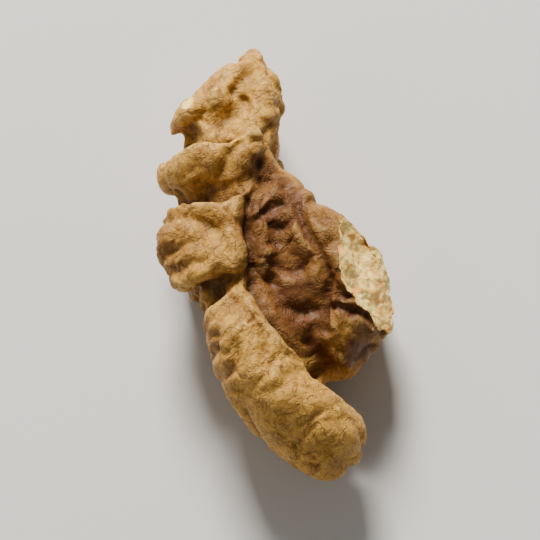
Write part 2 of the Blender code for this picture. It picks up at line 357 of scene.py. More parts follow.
# Creases between and across the lobes.
GROOVES: dict[str, Groove] = {
    "cap_to_stub": Groove(1.3, (
        (-4.6, 10.3, 0.6, 2.4), (-6.2, 10.3, 4.0, 3.6), (-5.2, 10.3, 7.4, 3.6),
        (-3.4, 10.2, 9.2, 3.0), (-1.8, 10.1, 9.8, 2.2), (-0.4, 10.0, 9.8, 0.9),
    )),
    "stub_to_mid": Groove(1.25, (
        (-6.4, 5.8, 0.6, 2.6), (-7.2, 5.8, 5.0, 3.8), (-5.4, 5.7, 8.2, 3.9),
        (-3.4, 5.6, 9.8, 3.3), (-1.6, 5.4, 10.2, 2.1), (-0.2, 5.2, 9.9, 0.8),
    )),
    "mid_to_foot": Groove(1.25, (
        (-7.0, -1.8, 0.6, 2.2), (-7.6, -1.9, 5.0, 3.0), (-5.8, -1.8, 8.6, 2.8),
        (-4.0, -1.7, 9.8, 2.3), (-2.4, -1.7, 10.0, 1.5),
    )),
    "valley": Groove(1.8, (
        (2.4, 8.4, 8.8, 0.6), (1.0, 6.0, 9.2, 0.9), (-0.5, 3.8, 9.8, 1.6), (-1.2, 1.2, 9.8, 2.0),
        (-1.6, -1.4, 9.6, 2.1), (-0.9, -3.8, 9.4, 2.4), (0.0, -6.2, 8.8, 2.7), (1.0, -8.6, 7.4, 3.0),
        (2.2, -11.0, 5.0, 3.4), (2.4, -11.2, 2.0, 3.2),
    )),
    "right_rim": Groove(1.3, (
        (1.6, 5.0, 9.0, 0.5), (2.4, 2.6, 9.4, 1.2), (3.0, 0.2, 9.2, 1.4),
        (3.2, -2.4, 9.0, 1.4), (2.6, -4.8, 8.6, 1.3), (1.8, -6.6, 7.8, 0.9),
    )),
    "mid_dent": Groove(1.2, (
        (-8.2, 4.6, 5.0, 0.7), (-6.6, 4.0, 8.4, 1.1), (-4.8, 3.4, 9.8, 1.1),
        (-3.4, 2.2, 10.2, 0.8), (-2.9, 0.8, 10.2, 0.5),
    )),
    "mid_low": Groove(1.1, ((-7.6, 0.8, 5.4, 0.6), (-6.6, 0.6, 8.0, 0.8), (-4.8, 0.2, 9.6, 0.6))),
    "cap_hollow": Groove(1.1, (
        (1.4, 13.6, 8.6, 0.3), (0.7, 12.2, 9.2, 0.9), (0.4, 11.0, 9.6, 1.0), (0.2, 10.2, 9.8, 0.8),
    )),
    "cap_crease": Groove(0.9, (
        (-3.0, 13.2, 6.8, 0.5), (-2.4, 12.4, 8.8, 0.7), (-2.0, 11.2, 9.2, 0.7), (-1.8, 10.2, 9.4, 0.6),
    )),
    "stub_crease": Groove(0.9, ((-2.6, 9.4, 9.4, 0.3), (-2.0, 8.0, 9.8, 0.7), (-1.8, 6.4, 9.6, 0.6))),
    "foot_side": Groove(1.2, (
        (-6.8, -4.8, 5.6, 0.6), (-6.2, -7.4, 6.8, 1.0), (-5.2, -10.2, 6.2, 1.0),
        (-3.4, -13.2, 5.4, 0.8), (-1.4, -15.2, 5.0, 0.4),
    )),
    "foot_ridge": Groove(1.0, (
        (-3.4, -2.8, 9.6, 0.5), (-2.8, -4.8, 9.8, 0.9), (-2.4, -6.8, 9.4, 0.8), (-3.0, -8.6, 9.2, 0.4),
    )),
    "foot_cross": Groove(1.0, (
        (-5.4, -9.0, 7.8, 0.2), (-3.0, -9.6, 8.8, 0.4), (-0.8, -9.2, 8.6, 0.4), (0.8, -9.0, 7.4, 0.3),
    )),
    "foot_end": Groove(1.0, (
        (-2.4, -12.6, 7.6, 0.2), (-0.8, -12.6, 8.2, 0.4), (1.2, -11.8, 7.4, 0.4), (2.4, -11.4, 5.4, 0.3),
    )),
    "centre_high": Groove(1.1, (
        (-0.4, 2.6, 8.6, 0.5), (1.0, 1.8, 8.6, 1.0), (2.6, 2.2, 9.2, 0.8),
        (4.6, 3.0, 8.0, 1.1), (5.6, 3.4, 4.4, 1.3), (5.0, 3.4, 1.5, 1.2),
    )),
    "centre_mid": Groove(1.1, (
        (-1.0, -1.0, 8.6, 0.5), (0.6, -1.8, 8.6, 1.0), (2.6, -1.2, 9.0, 0.8), (4.4, -0.6, 8.8, 0.8),
    )),
    "centre_low": Groove(1.1, (
        (-0.2, -4.2, 8.2, 0.5), (1.4, -4.6, 8.2, 1.0), (3.4, -5.2, 8.6, 0.9),
        (5.2, -6.2, 7.6, 1.1), (6.4, -7.2, 4.6, 1.3), (5.8, -7.0, 1.6, 1.3),
    )),
    "flank_high": Groove(1.2, ((8.4, -0.6, 4.6, 1.2), (7.8, -0.4, 1.6, 1.3), (6.0, -0.2, 0.4, 0.8))),
    "flank_low": Groove(1.2, ((8.8, -3.8, 4.2, 1.0), (8.0, -4.0, 1.6, 1.3), (6.0, -4.2, 0.4, 0.8))),
    "underside_channel": Groove(2.5, (
        (0.8, 13.0, 1.0, 0.8), (0.2, 10.0, 0.9, 2.2), (0.2, 6.4, 1.0, 2.8), (0.2, 2.0, 1.2, 3.2),
        (0.6, -2.0, 1.2, 3.2), (0.6, -5.6, 1.6, 3.0), (1.6, -8.4, 2.0, 2.6),
    )),
}

# Open recesses at the left margin.
NOTCHES: dict[str, Groove] = {
    "under_cap": Groove(1.05, (
        (-5.0, 9.9, 5.0, 0.5), (-4.4, 9.7, 7.0, 1.4), (-3.4, 9.5, 8.3, 2.1),
        (-2.4, 9.2, 8.9, 2.4), (-1.5, 9.0, 9.2, 2.0), (-0.6, 8.9, 9.4, 0.6),
    )),
    "under_stub": Groove(0.95, (
        (-6.4, 5.4, 2.0, 1.2), (-7.3, 5.3, 4.5, 2.0), (-6.5, 5.2, 6.5, 2.3),
        (-5.1, 5.1, 8.2, 1.6), (-3.6, 5.0, 9.4, 0.6),
    )),
    "under_mid": Groove(1.0, ((-6.4, -1.9, 7.4, 1.3), (-4.8, -1.8, 8.6, 1.3), (-3.4, -1.6, 9.6, 0.5))),
}

# Smoother places: three along the foot lobe, one on the middle lobe and one on the cap.
CALM: tuple[Row, ...] = (
    (-2.6, -7.0, 7.5, 3.6), (-1.2, -10.5, 7.0, 4.2), (0.2, -13.4, 6.0, 4.4),
    (-4.0, 1.8, 9.0, 2.8), (0.8, 12.4, 8.8, 2.2),
)

BREAKS: dict[str, Break] = {
    "right_chip": Break((6.5, -3.4, 6.4), (0.78, -0.10, 0.62), 0.45),
    "cap_scuff": Break((-2.4, 12.0, 8.6), (-0.40, 0.45, 0.80), 0.45),
}


@dataclass
class KernelForm:
    """The kernel's shape, sculpted in millimetres."""

    voxel: float = 0.15
    solid_voxel: float = 0.28
    ball_step: float = 0.7
    ball_subdivisions: int = 3
    groove_step: float = 0.3
    joining_smooth: int = 8
    carving_smooth: int = 2
    noise_seed: int = 23
    base_cut: float = 0.35 * MM
    groove_wander: tuple[Wander, ...] = (Wander(4.0, 0.8, 3), Wander(1.8, 0.25, 5))
    notch_wander: float = 0.2
    body_wander: Wander = Wander(3.2, 0.35, 2)
    fold_spacing: float = 3.5
    fold_shoulder: float = 1.45
    fold_sweep: float = 0.16
    fold_bends: tuple[Noise, ...] = (Noise(6.0, 1.1, (4.1, 0.3, 7.7)), Noise(2.6, 0.25, (14.1, 5.3, 2.7)))
    fold_presence: float = 0.62
    fold_fade: Noise = Noise(4.5, 0.9, (9.1, 2.3, 0.7))
    flank_depth: float = 1.6
    top_depth: float = 0.8
    knuckle_size: Place = (3.2, 2.7, 3.0)
    knuckle_depth: float = 0.6
    knuckle_shoulder: float = 0.55
    knuckle_bend_size: float = 2.8
    knuckle_bend: float = 0.45
    knuckle_presence: float = 0.55
    knuckle_fade: Noise = Noise(5.5, 1.2, (1.1, 8.3, 3.7))
    calm_share: float = 0.4
    calm_edge: tuple[float, float] = (0.6, 1.3)
    break_swell_size: float = 2.4
    break_grain: Noise = Noise(0.7, 0.12)
    break_edge: float = 0.25
    skin_thickness: float = 0.14
    creases: tuple[Noise, ...] = (Noise(2.3, 1.0, (2.2, 6.1, 9.4)), Noise(1.3, 1.0, (8.8, 1.7, 3.3)))
    crease_width: float = 0.085
    crease_depths: tuple[float, ...] = (0.13, 0.07)
    crease_presence: float = 0.5
    crease_fade: Noise = Noise(3.4, 1.3, (5.7, 0.4, 6.6))
    crumples: tuple[Noise, ...] = (Noise(0.95, 0.10, (3.3, 4.4, 5.5)), Noise(0.48, 0.05, (7.1, 6.2, 5.3)))
    flesh_grain: tuple[Noise, ...] = (Noise(0.42, 0.10, (1.5, 2.5, 3.5)), Noise(0.22, 0.05, (6.5, 7.5, 8.5)))
    crest_rounds: int = 70
    crest_reach: float = 0.22
    hollow_reach: float = 1.9
    middle_step: float = 1.0
    middle_edge: tuple[float, float] = (0.55, 1.25)
    # The darker middle along the dome: the skin's own red-brown tone with painted shade; the last ball
    # darkens the lower right lobe as painted shade.
    middle_run: tuple[Row, ...] = (
        (0.6, 5.6, 9.0, 2.0), (1.2, 2.4, 9.0, 3.0), (1.6, -1.6, 9.0, 3.6), (2.0, -5.2, 8.4, 3.4),
        (3.8, -6.6, 6.4, 3.2),
    )

    def skin(self, obj: bpy.types.Object, rounds: int) -> None:
        """Join everything in the object under one even skin and smooth it.

        Args:
            obj: The object to change.
            rounds: Rounds of smoothing.
        """
        remesh = obj.modifiers.new("skin", "REMESH")
        remesh.mode = "VOXEL"
        remesh.voxel_size = self.voxel
        smooth = obj.modifiers.new("soften", "SMOOTH")
        smooth.iterations = rounds
        apply_modifiers(obj)

    def balls(self, name: str) -> bpy.types.Object:
        """Make the balls of every lobe.

        Args:
            name: Name of the new object.

        Returns:
            The object, linked to the scene.
        """
        form = bmesh.new()
        for lobe in LOBES.values():
            for x, y, z, radius in smooth_run(lobe, self.ball_step):
                bmesh.ops.create_icosphere(
                    form,
                    subdivisions=self.ball_subdivisions,
                    radius=radius,
                    matrix=Matrix.Translation((x, y, z)),
                )
        mesh = bpy.data.meshes.new(name)
        form.to_mesh(mesh)
        form.free()
        obj = bpy.data.objects.new(name, mesh)
        bpy.context.scene.collection.objects.link(obj)
        return obj

    def groove_depth(
        self, points: np.ndarray, normals: np.ndarray, grooves: dict[str, Groove], profile: Profile
    ) -> np.ndarray:
        """Measure how deep drawn grooves are.

        Args:
            points: Vertices, one a row.
            normals: Their normals.
            grooves: The grooves.
            profile: Their section.

        Returns:
            One depth a vertex.
        """
        query = points
        for wander in self.groove_wander:
            query = wander.move(query)
        shift = (query - points) * (1.0 if profile is Profile.CREASE else self.notch_wander)
        shift -= normals * (shift * normals).sum(axis=1)[:, None]
        query = points + shift
        surface = KDTree(len(points))
        for index, point in enumerate(points):
            surface.insert(point, index)
        surface.balance()
        depth = np.zeros(len(points))
        for groove in grooves.values():
            samples = smooth_run(groove.line, self.groove_step)
            bed = np.array([surface.find(place)[0] for place in samples[:, :3]])
            low = bed.min(axis=0) - groove.radius
            high = bed.max(axis=0) + groove.radius
            chosen = np.flatnonzero(((query > low) & (query < high)).all(axis=1))
            distance = np.linalg.norm(query[chosen, None] - bed[None], axis=2)
            closest = distance.argmin(axis=1)
            away = distance[np.arange(len(chosen)), closest] / groove.radius
            share = shoulder(away) if profile is Profile.CREASE else 1 - smooth_step(0, 1, away)
            depth[chosen] = np.maximum(depth[chosen], samples[closest, 3] * share)
        return depth

    def fold_depth(self, points: np.ndarray, normals: np.ndarray) -> np.ndarray:
        """Measure the cross folds, deeper on the flanks than on top.

        Args:
            points: Vertices, one a row.
            normals: Their normals.

        Returns:
            One depth a vertex.
        """
        phase = points[:, 1] / self.fold_spacing + self.fold_sweep * np.abs(points[:, 0])
        for bend in self.fold_bends:
            phase += bend.at(points)
        distance = np.abs(phase - np.floor(phase) - 0.5) * self.fold_spacing / self.fold_shoulder
        presence = np.clip(self.fold_presence + self.fold_fade.at(points), 0, 1)
        reach = self.flank_depth + (self.top_depth - self.flank_depth) * np.clip(normals[:, 2], 0, 1)
        return reach * presence * shoulder(distance)

    def knuckle_creases(self, points: np.ndarray) -> np.ndarray:
        """Measure the creases between small knuckles.

        Args:
            points: Vertices, one a row.

        Returns:
            One depth a vertex.
        """
        edge = np.empty(len(points))
        for index, point in enumerate(points):
            bend = self.knuckle_bend * noise.noise_vector(Vector(point) / self.knuckle_bend_size)
            distances, _ = noise.voronoi(Vector(point / self.knuckle_size) + bend)
            edge[index] = distances[1] - distances[0]
        presence = np.clip(self.knuckle_presence + self.knuckle_fade.at(points), 0, 1)
        return self.knuckle_depth * presence * shoulder(edge / self.knuckle_shoulder)

    def liveliness(self, points: np.ndarray) -> np.ndarray:
        """Measure how freely folds and knuckles may form, less in the smoother places.

        Args:
            points: Vertices, one a row.

        Returns:
            One share a vertex.
        """
        share = np.ones(len(points))
        for x, y, z, radius in CALM:
            distance = np.linalg.norm(points - (x, y, z), axis=1) / radius
            free = self.calm_share + (1 - self.calm_share) * smooth_step(*self.calm_edge, distance)
            share = np.minimum(share, free)
        return share

    def wrinkle_depth(self, points: np.ndarray) -> np.ndarray:
        """Measure the fine creases and crumples of the papery skin.

        Args:
            points: Vertices, one a row.

        Returns:
            One depth a vertex.
        """
        presence = np.clip(self.crease_presence + self.crease_fade.at(points), 0, 1)
        depth = np.zeros(len(points))
        for crease, reach in zip(self.creases, self.crease_depths):
            depth += reach * presence * np.exp(-(crease.at(points) / self.crease_width) ** 2)
        for crumple in self.crumples:
            depth += np.abs(crumple.at(points))
        return depth

    def past_break(self, points: np.ndarray, face: Break) -> np.ndarray:
        """Measure how far points lie past a broken face.

        Args:
            points: Vertices, one a row.
            face: The broken face.

        Returns:
            Signed distances along the way the face looks.
        """
        direction = np.array(face.facing) / np.linalg.norm(face.facing)
        uneven = Noise(self.break_swell_size, face.swell).at(points) + self.break_grain.at(points)
        return (points - face.place) @ direction - uneven

    def carve(self, obj: bpy.types.Object) -> np.ndarray:
        """Sink grooves, folds, recesses and knuckles into the joined lobes.

        Args:
            obj: The object to change.

        Returns:
            How deep each vertex of the new surface lies.
        """
        points = points_of(obj.data)
        normals = normals_of(obj.data)
        lively = self.liveliness(points)
        drawn = self.groove_depth(points, normals, GROOVES, Profile.CREASE)
        depth = np.maximum(drawn, lively * self.fold_depth(points, normals))
        depth = np.maximum(depth, self.groove_depth(points, normals, NOTCHES, Profile.NOTCH))
        depth += lively * self.knuckle_creases(points)
        points = points - normals * depth[:, None]
        move_points(obj.data, points)
        self.skin(obj, self.carving_smooth)
        keep_largest(obj.data)
        return self.carried(points, depth, points_of(obj.data))

    def broken(self, points: np.ndarray) -> tuple[np.ndarray, np.ndarray]:
        """Cut the broken faces and roughen their flesh.

        Args:
            points: Vertices, one a row.

        Returns:
            The new places, and how much each one is flesh.
        """
        flesh = np.zeros(len(points))
        for face in BREAKS.values():
            past = self.past_break(points, face)
            direction = np.array(face.facing) / np.linalg.norm(face.facing)
            grain = sum(part.at(points) for part in self.flesh_grain)
            inside = smooth_step(0, self.break_edge, past)
            points = points - direction * (np.clip(past, 0, None) + grain * inside)[:, None]
            flesh = np.maximum(flesh, smooth_step(-self.skin_thickness, self.skin_thickness, past))
        return points, flesh

    def sculpt(self, name: str) -> tuple[bpy.types.Object, dict[Layer, np.ndarray]]:
        """Sculpt the whole surface.

        Args:
            name: Name of the new object.

        Returns:
            The object, in millimetres, and the values that it carries for its finish.
        """
        noise.seed_set(self.noise_seed)
        fineness = (self.solid_voxel / self.voxel) ** 2
        obj = self.balls(name)
        self.skin(obj, round(self.joining_smooth * fineness))
        hollow = self.carve(obj)
        points = self.body_wander.move(points_of(obj.data))
        move_points(obj.data, points)
        points = points - normals_of(obj.data) * self.wrinkle_depth(points)[:, None]
        points, flesh = self.broken(points)
        move_points(obj.data, points)
        even = settled(points, edges_of(obj.data), self.crest_rounds)
        crest = ((points - even) * normals_of(obj.data)).sum(axis=1) / self.crest_reach
        layers = {
            Layer.HOLLOW: np.clip(hollow / self.hollow_reach, 0, 1),
            Layer.CREST: np.clip(crest, -1, 1),
            Layer.FLESH: flesh,
            Layer.MIDDLE: self.middle(points),
        }
        return obj, layers

    def carried(self, sources: np.ndarray, values: np.ndarray, points: np.ndarray) -> np.ndarray:
        """Carry values from one set of points to the nearest of another.

        Args:
            sources: The points that have the values.
            values: One value a source.
            points: The points that get them.

        Returns:
            One value a point.
        """
        tree = KDTree(len(sources))
        for index, source in enumerate(sources):
            tree.insert(source, index)
        tree.balance()
        return np.array([values[tree.find(point)[1]] for point in points])

    def middle(self, points: np.ndarray) -> np.ndarray:
        """Measure how much each point belongs to the darker middle of the dome: partly the skin's own
        red-brown tone, partly painted shade, most on the lower right lobe.

        Args:
            points: Vertices, one a row.

        Returns:
            One share a vertex.
        """
        run = smooth_run(self.middle_run, self.middle_step)
        share = np.zeros(len(points))
        for x, y, z, radius in run:
            distance = np.linalg.norm(points - (x, y, z), axis=1) / radius
            share = np.maximum(share, 1 - smooth_step(*self.middle_edge, distance))
        return share

    def fitted(self, points: np.ndarray, low: Vector, high: Vector) -> np.ndarray:
        """Bring points in millimetres to a box in metres, the lowest ones pressed flat on its floor.

        Args:
            points: Vertices, one a row.
            low: Lowest corner of the box.
            high: Highest corner of the box.

        Returns:
            The places in metres.
        """
        own_low = points.min(axis=0)
        own_high = points.max(axis=0)
        low = np.array(low) - (0, 0, self.base_cut)
        share = (points - own_low) / (own_high - own_low)
        places = low + share * (np.array(high) - low)
        places[:, 2] = np.maximum(places[:, 2], 0)
        return places


@dataclass(frozen=True)
class Pattern:
    """Noise of the skin or flesh, a unit of it a millimetre, and how it is eased to a share."""

    scale: float
    detail: float
    bend: float = 0.0
    start: float = 0.0
    end: float = 1.0
    from_share: float = 0.0
    to_share: float = 1.0


@dataclass
class Graph:
    """Short calls for building a material's nodes."""

    tree: bpy.types.NodeTree

    def node(self, kind: str, **settings: object) -> bpy.types.Node:
        """Add a node.

        Args:
            kind: Blender's name of the node's type.
            **settings: Properties to set on it.

        Returns:
            The node.
        """
        node = self.tree.nodes.new(kind)
        for key, value in settings.items():
            setattr(node, key, value)
        return node

    def feed(self, socket: Socket, value: object) -> None:
        """Link a socket to another one, or set its value.

        Args:
            socket: The input socket.
            value: An output socket or a plain value.
        """
        if isinstance(value, bpy.types.NodeSocket):
            self.tree.links.new(value, socket)
        else:
            socket.default_value = value

    def math(self, operation: str, first: object, second: object = 0.0) -> Socket:
        """Combine two numbers.

        Args:
            operation: Blender's name of the operation.
            first: First socket or number.
            second: Second socket or number.

        Returns:
            The result.
        """
        node = self.node("ShaderNodeMath", operation=operation)
        self.feed(node.inputs[0], first)
        self.feed(node.inputs[1], second)
        return node.outputs[0]

    def ease(
        self, value: object, low: float, high: float, to_low: float = 0.0, to_high: float = 1.0
    ) -> Socket:
        """Ease a number from one range to another.

        Args:
            value: Socket or number to ease.
            low: Start of its range.
            high: End of its range.
            to_low: Result at the start.
            to_high: Result at the end.

        Returns:
            The eased number.
        """
        node = self.node("ShaderNodeMapRange", interpolation_type="SMOOTHSTEP")
        for socket, number in zip(node.inputs, (value, low, high, to_low, to_high)):
            self.feed(socket, number)
        return node.outputs[0]

    def mix(self, share: object, first: object, second: object) -> Socket:
        """Mix two colours.

        Args:
            share: Share of the second colour.
            first: First colour.
            second: Second colour.

        Returns:
            The mixed colour.
        """
        node = self.node("ShaderNodeMix", data_type="RGBA")
        self.feed(node.inputs["Factor"], share)
        self.feed(node.inputs[6], first)
        self.feed(node.inputs[7], second)
        return node.outputs[2]

    def lay(self, under: object, over: object, cover: Socket, share: float) -> Socket:
        """Lay a colour over another one.

        Args:
            under: The colour underneath.
            over: The colour laid over it.
            cover: Where it is laid.
            share: How strongly.

        Returns:
            The mixed colour.
        """
        return self.mix(self.math("MULTIPLY", cover, share), under, over)

    def noise(self, place: Socket, pattern: Pattern) -> Socket:
        """Add a pattern's noise.

        Args:
            place: Where it is read.
            pattern: The pattern.

        Returns:
            A number between 0 and 1, around a half.
        """
        node = self.node("ShaderNodeTexNoise")
        self.feed(node.inputs["Vector"], place)
        node.inputs["Scale"].default_value = pattern.scale
        node.inputs["Detail"].default_value = pattern.detail
        node.inputs["Distortion"].default_value = pattern.bend
        return node.outputs["Fac"]

    def share(self, place: Socket, pattern: Pattern) -> Socket:
        """Add a pattern's noise, eased to its share.

        Args:
            place: Where it is read.
            pattern: The pattern.

        Returns:
            The share.
        """
        level = self.noise(place, pattern)
        return self.ease(level, pattern.start, pattern.end, pattern.from_share, pattern.to_share)

    def layer(self, layer: Layer) -> Socket:
        """Read one of the surface's own values."""
        return self.node("ShaderNodeAttribute", attribute_name=layer.value).outputs["Fac"]


@dataclass(frozen=True)
class KernelFinish:
    """Brown papery skin with darker folds and veins, and pale waxy flesh where it is broken; the folds'
    darkness and the darker middle are partly painted shade, and the pale crests partly a painted highlight.
    """

    skin_light: Colour = (0.58, 0.31, 0.056, 1)
    skin_brown: Colour = (0.25, 0.106, 0.016, 1)
    skin_red: Colour = (0.105, 0.034, 0.007, 1)
    # Darkest brown: the skin's own furrow tone and painted shade, laid in hollows and crevices.
    furrow_skin_and_shade: Colour = (0.038, 0.011, 0.002, 1)
    # Pale skin: real pale dust flecks, and the painted highlight on the crests.
    skin_pale_and_highlight: Colour = (0.64, 0.39, 0.110, 1)
    vein: Colour = (0.090, 0.030, 0.006, 1)
    flesh_light: Colour = (1.0, 0.74, 0.23, 1)
    flesh_shade: Colour = (0.84, 0.42, 0.085, 1)
    patches: Pattern = Pattern(0.16, 3, 0.0, 0.34, 0.68)
    paler_to_ends: float = 0.0020
    mottle: Pattern = Pattern(0.75, 5, 0.4, 0.42, 0.68)
    mottle_share: float = 0.5
    speckle: Pattern = Pattern(2.6, 6, 0.3, 0.45, 0.72)
    speckle_share: float = 0.35
    dust: Pattern = Pattern(4.5, 4, 0.0, 0.55, 0.8)
    dust_share: float = 0.35
    blotch: Pattern = Pattern(0.5, 4, 0.5, 0.3, 0.62, 0.5, 1.0)
    middle_share: float = 0.95
    # Paler convex crests: partly wear of the skin, partly a painted highlight.
    wear_and_highlight: Pattern = Pattern(0.9, 4, 0.0, 0.35, 0.65)
    wear_and_highlight_crest: tuple[float, float] = (0.15, 0.9)
    wear_and_highlight_share: tuple[float, float] = (0.6, 0.3)
    hollow_range: tuple[float, float] = (0.15, 1.0)
    hollow_shade_share: float = 0.8
    sunk_range: tuple[float, float] = (-0.1, -0.9)
    sunk_shade_share: float = 0.42
    crinkle_noise: Pattern = Pattern(0.85, 4, 0.7)
    crinkle_width: float = 0.035
    crinkle_share: float = 0.22
    fine_grain: Pattern = Pattern(3.2, 5, 0.6, 0.47, 0.32)
    pore_share: float = 0.30
    vein_bend: Pattern = Pattern(0.45, 3)
    vein_reach: Place = (3.0, 3.0, 3.0)
    vein_nets: tuple[tuple[float, float], ...] = ((0.22, 0.035), (0.5, 0.04))
    vein_gaps: tuple[Pattern, ...] = (Pattern(0.57, 2, 0.0, 0.42, 0.6), Pattern(0.85, 2, 0.0, 0.42, 0.6))
    vein_share: float = 0.5
    crumb: Pattern = Pattern(1.4, 5, 0.0, 0.38, 0.66)
    ragged: Pattern = Pattern(2.2, 3, 0.0, 0.0, 1.0, -0.25, 0.25)
    flesh_range: tuple[float, float] = (0.42, 0.62)
    rough: Pattern = Pattern(0.6, 4, 0.0, 0.3, 0.7, 0.50, 0.72)
    sand: Pattern = Pattern(7.0, 3)
    fine_height: float = 0.9
    sand_height: float = 0.35
    crinkle_height: float = 0.5
    vein_height: float = 0.35
    relief_strength: float = 0.9
    relief_depth: float = 0.09 * MM
    subsurface: float = 0.10
    subsurface_radius: Place = (1.0, 0.45, 0.15)
    subsurface_scale: float = 0.0005
    coat: float = 0.03
    coat_roughness: float = 0.35
    ior: float = 1.41
    specular_level: float = 0.32

    def plain_skin(self, graph: Graph, place: Socket) -> Socket:
        """Build the skin's ground colour, paler to both ends, with mottle, speckle and dust.

        Args:
            graph: The material's nodes.
            place: Object coordinates in millimetres.

        Returns:
            The colour.
        """
        along = graph.node("ShaderNodeSeparateXYZ")
        graph.feed(along.inputs[0], place)
        off_middle = graph.math("POWER", graph.math("ABSOLUTE", along.outputs[1]), 2.0)
        paler = graph.math("MULTIPLY", off_middle, self.paler_to_ends)
        light = graph.math("ADD", graph.noise(place, self.patches), paler)
        light = graph.ease(light, self.patches.start, self.patches.end)
        colour = graph.mix(light, self.skin_brown, self.skin_light)
        colour = graph.lay(colour, self.skin_brown, graph.share(place, self.mottle), self.mottle_share)
        colour = graph.lay(colour, self.skin_red, graph.share(place, self.speckle), self.speckle_share)
        return graph.lay(colour, self.skin_pale_and_highlight, graph.share(place, self.dust), self.dust_share)

    def skin(self, graph: Graph, place: Socket, crinkle: Socket, veins: Socket) -> Socket:
        """Build the skin's whole colour, with painted shade in hollows, crevices and the middle and a
        painted highlight on crests.

        Args:
            graph: The material's nodes.
            place: Object coordinates in millimetres.
            crinkle: Zero along a thin crease and one away from it.
            veins: Share of vein at each place.

        Returns:
            The colour.
        """
        # Darker red-brown middle: partly the skin's own tone, partly painted shade, most on the lower right
        # lobe.
        middle = graph.math("MULTIPLY", graph.layer(Layer.MIDDLE), self.middle_share)
        middle = graph.math("MULTIPLY", middle, graph.share(place, self.blotch))
        colour = graph.mix(middle, self.plain_skin(graph, place), self.skin_red)
        # Crests paler: partly worn skin, partly a painted highlight, weaker in the middle.
        crest = graph.ease(graph.layer(Layer.CREST), *self.wear_and_highlight_crest)
        wear_and_highlight = graph.math("MULTIPLY", crest, graph.share(place, self.wear_and_highlight))
        wear_and_highlight_share = graph.ease(graph.layer(Layer.MIDDLE), 0.0, 1.0, *self.wear_and_highlight_share)
        colour = graph.mix(graph.math("MULTIPLY", wear_and_highlight, wear_and_highlight_share), colour, self.skin_pale_and_highlight)
        # Grooves and recesses darker by depth: partly the skin's own darker furrows, partly painted shade.
        hollow = graph.ease(graph.layer(Layer.HOLLOW), *self.hollow_range)
        colour = graph.lay(colour, self.furrow_skin_and_shade, hollow, self.hollow_shade_share)
        # Concave places darker: partly the skin's own darker furrows, partly painted shade.
        sunk = graph.ease(graph.layer(Layer.CREST), *self.sunk_range)
        colour = graph.lay(colour, self.furrow_skin_and_shade, sunk, self.sunk_shade_share)
        colour = graph.lay(colour, self.skin_red, graph.ease(crinkle, 1.0, 0.0), self.crinkle_share)
        pores = graph.share(place, self.fine_grain)
        colour = graph.lay(colour, self.skin_red, pores, self.pore_share)
        return graph.lay(colour, self.vein, veins, self.vein_share)

    def crinkle(self, graph: Graph, place: Socket) -> Socket:
        """Build the papery skin's thin creases.

        Args:
            graph: The material's nodes.
            place: Object coordinates in millimetres.

        Returns:
            Zero along a crease and one away from it.
        """
        level = graph.math("SUBTRACT", graph.noise(place, self.crinkle_noise), 0.5)
        return graph.ease(graph.math("ABSOLUTE", level), 0.0, self.crinkle_width)

    def veins(self, graph: Graph, place: Socket) -> Socket:
        """Build thin branching veins.

        Args:
            graph: The material's nodes.
            place: Object coordinates in millimetres.

        Returns:
            The share of vein at each place.
        """
        bend = graph.node("ShaderNodeTexNoise")
        graph.feed(bend.inputs["Vector"], place)
        bend.inputs["Scale"].default_value = self.vein_bend.scale
        bend.inputs["Detail"].default_value = self.vein_bend.detail
        bent = graph.node("ShaderNodeVectorMath", operation="MULTIPLY_ADD")
        graph.feed(bent.inputs[0], bend.outputs["Color"])
        bent.inputs[1].default_value = self.vein_reach
        graph.feed(bent.inputs[2], place)
        lines = []
        for (scale, width), gaps in zip(self.vein_nets, self.vein_gaps):
            cells = graph.node("ShaderNodeTexVoronoi", feature="DISTANCE_TO_EDGE")
            graph.feed(cells.inputs["Vector"], bent.outputs[0])
            cells.inputs["Scale"].default_value = scale
            line = graph.ease(cells.outputs["Distance"], width, 0.0)
            lines.append(graph.math("MULTIPLY", line, graph.share(place, gaps)))
        return graph.math("MAXIMUM", *lines)

    def relief(self, graph: Graph, place: Socket, flesh: Socket, crinkle: Socket, veins: Socket) -> Socket:
        """Build the finest relief: grain, thin creases of the skin and raised veins.

        Args:
            graph: The material's nodes.
            place: Object coordinates in millimetres.
            flesh: Share of flesh at each place.
            crinkle: Zero along a thin crease and one away from it.
            veins: Share of vein at each place.

        Returns:
            The bent normal.
        """
        height = graph.math("MULTIPLY", graph.noise(place, self.fine_grain), self.fine_height)
        sand = graph.math("MULTIPLY", graph.noise(place, self.sand), self.sand_height)
        crease = graph.math("MULTIPLY", crinkle, graph.ease(flesh, 1.0, 0.0, 0.0, self.crinkle_height))
        raised = graph.math("MULTIPLY", veins, self.vein_height)
        for part in (sand, crease, raised):
            height = graph.math("ADD", height, part)
        bump = graph.node("ShaderNodeBump")
        bump.inputs["Strength"].default_value = self.relief_strength
        bump.inputs["Distance"].default_value = self.relief_depth
        graph.feed(bump.inputs["Height"], height)
        return bump.outputs[0]

